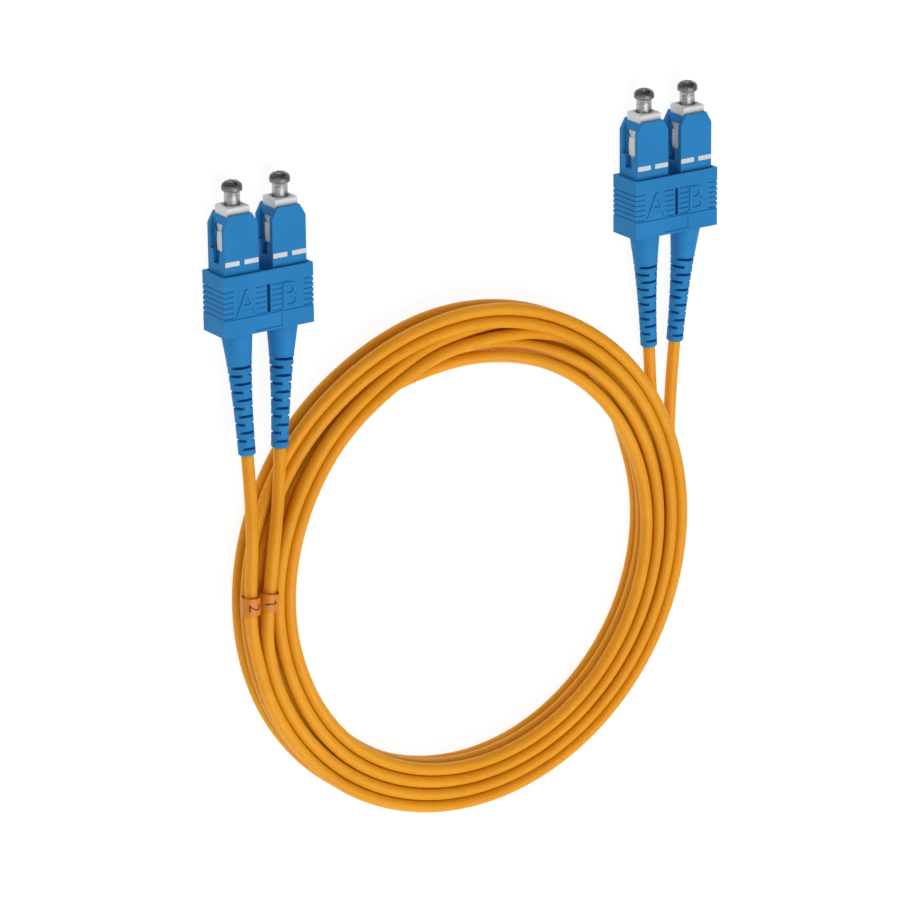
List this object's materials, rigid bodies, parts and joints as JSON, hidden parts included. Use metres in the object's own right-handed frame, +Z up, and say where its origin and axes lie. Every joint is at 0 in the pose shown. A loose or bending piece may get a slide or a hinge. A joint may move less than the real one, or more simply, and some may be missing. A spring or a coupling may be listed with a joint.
{
  "type": "duplex fibre optic patch cable",
  "caption": "Duplex fibre optic patch cable wound in a flat ring, with push-pull duplex plugs, slit boots and dust caps on both ends.",
  "frame": {"origin": "centre of the wound ring on the surface that the cable lies on", "axes": "+Z up from that surface, +Y along the plugs towards their tips, +X across the clips from A to B"},
  "size_m": [0.1384, 0.1707, 0.0114],
  "materials": {
    "blue_plastic": "satin",
    "blue_boot": "matt",
    "white_plastic": "satin",
    "smoky_plastic": "glossy",
    "zirconia": "polished",
    "nickel": "bright",
    "spring_steel": "bright",
    "fibre_buffer": "satin",
    "cord_jacket": "satin",
    "marker": "matt"
  },
  "bodies": {
    "cable": {"cable_coil": "cord_jacket", "marker_sleeve_1": "marker", "marker_sleeve_2": "marker", "left_a_leg": "cord_jacket", "left_a_boot": "blue_boot", "left_a_crimp_sleeve": "nickel", "left_a_stop_body": "nickel", "left_a_plug_frame": "white_plastic", "left_a_spring": "spring_steel", "left_b_leg": "cord_jacket", "left_b_boot": "blue_boot", "left_b_crimp_sleeve": "nickel", "left_b_stop_body": "nickel", "left_b_plug_frame": "white_plastic", "left_b_spring": "spring_steel", "right_a_leg": "cord_jacket", "right_a_boot": "blue_boot", "right_a_crimp_sleeve": "nickel", "right_a_stop_body": "nickel", "right_a_plug_frame": "white_plastic", "right_a_spring": "spring_steel", "right_b_leg": "cord_jacket", "right_b_boot": "blue_boot", "right_b_crimp_sleeve": "nickel", "right_b_stop_body": "nickel", "right_b_plug_frame": "white_plastic", "right_b_spring": "spring_steel"},
    "left_grip": {"left_duplex_clip": "blue_plastic", "left_a_grip_housing": "blue_plastic", "left_b_grip_housing": "blue_plastic"},
    "right_grip": {"right_duplex_clip": "blue_plastic", "right_a_grip_housing": "blue_plastic", "right_b_grip_housing": "blue_plastic"},
    "left_a_contact": {"left_a_ferrule": "zirconia", "left_a_ferrule_flange": "nickel", "left_a_fibre": "fibre_buffer"},
    "left_a_cap": {"left_a_dust_cap": "smoky_plastic"},
    "left_b_contact": {"left_b_ferrule": "zirconia", "left_b_ferrule_flange": "nickel", "left_b_fibre": "fibre_buffer"},
    "left_b_cap": {"left_b_dust_cap": "smoky_plastic"},
    "right_a_contact": {"right_a_ferrule": "zirconia", "right_a_ferrule_flange": "nickel", "right_a_fibre": "fibre_buffer"},
    "right_a_cap": {"right_a_dust_cap": "smoky_plastic"},
    "right_b_contact": {"right_b_ferrule": "zirconia", "right_b_ferrule_flange": "nickel", "right_b_fibre": "fibre_buffer"},
    "right_b_cap": {"right_b_dust_cap": "smoky_plastic"}
  },
  "joints": [
    {"name": "left_grip_slide", "type": "slide", "parent": "cable", "child": "left_grip", "axis": [0, 1, 0], "range_m": [-0.0015, 0]},
    {"name": "right_grip_slide", "type": "slide", "parent": "cable", "child": "right_grip", "axis": [0, 1, 0], "range_m": [-0.0015, 0]},
    {"name": "left_a_ferrule_slide", "type": "slide", "parent": "cable", "child": "left_a_contact", "axis": [0, 1, 0], "range_m": [-0.0008, 0], "stiffness_N_per_m": 300},
    {"name": "left_a_cap_pull", "type": "slide", "parent": "left_a_contact", "child": "left_a_cap", "axis": [0, 1, 0], "range_m": [0, 0.012]},
    {"name": "left_b_ferrule_slide", "type": "slide", "parent": "cable", "child": "left_b_contact", "axis": [0, 1, 0], "range_m": [-0.0008, 0], "stiffness_N_per_m": 300},
    {"name": "left_b_cap_pull", "type": "slide", "parent": "left_b_contact", "child": "left_b_cap", "axis": [0, 1, 0], "range_m": [0, 0.012]},
    {"name": "right_a_ferrule_slide", "type": "slide", "parent": "cable", "child": "right_a_contact", "axis": [0, 1, 0], "range_m": [-0.0008, 0], "stiffness_N_per_m": 300},
    {"name": "right_a_cap_pull", "type": "slide", "parent": "right_a_contact", "child": "right_a_cap", "axis": [0, 1, 0], "range_m": [0, 0.012]},
    {"name": "right_b_ferrule_slide", "type": "slide", "parent": "cable", "child": "right_b_contact", "axis": [0, 1, 0], "range_m": [-0.0008, 0], "stiffness_N_per_m": 300},
    {"name": "right_b_cap_pull", "type": "slide", "parent": "right_b_contact", "child": "right_b_cap", "axis": [0, 1, 0], "range_m": [0, 0.012]}
  ]
}
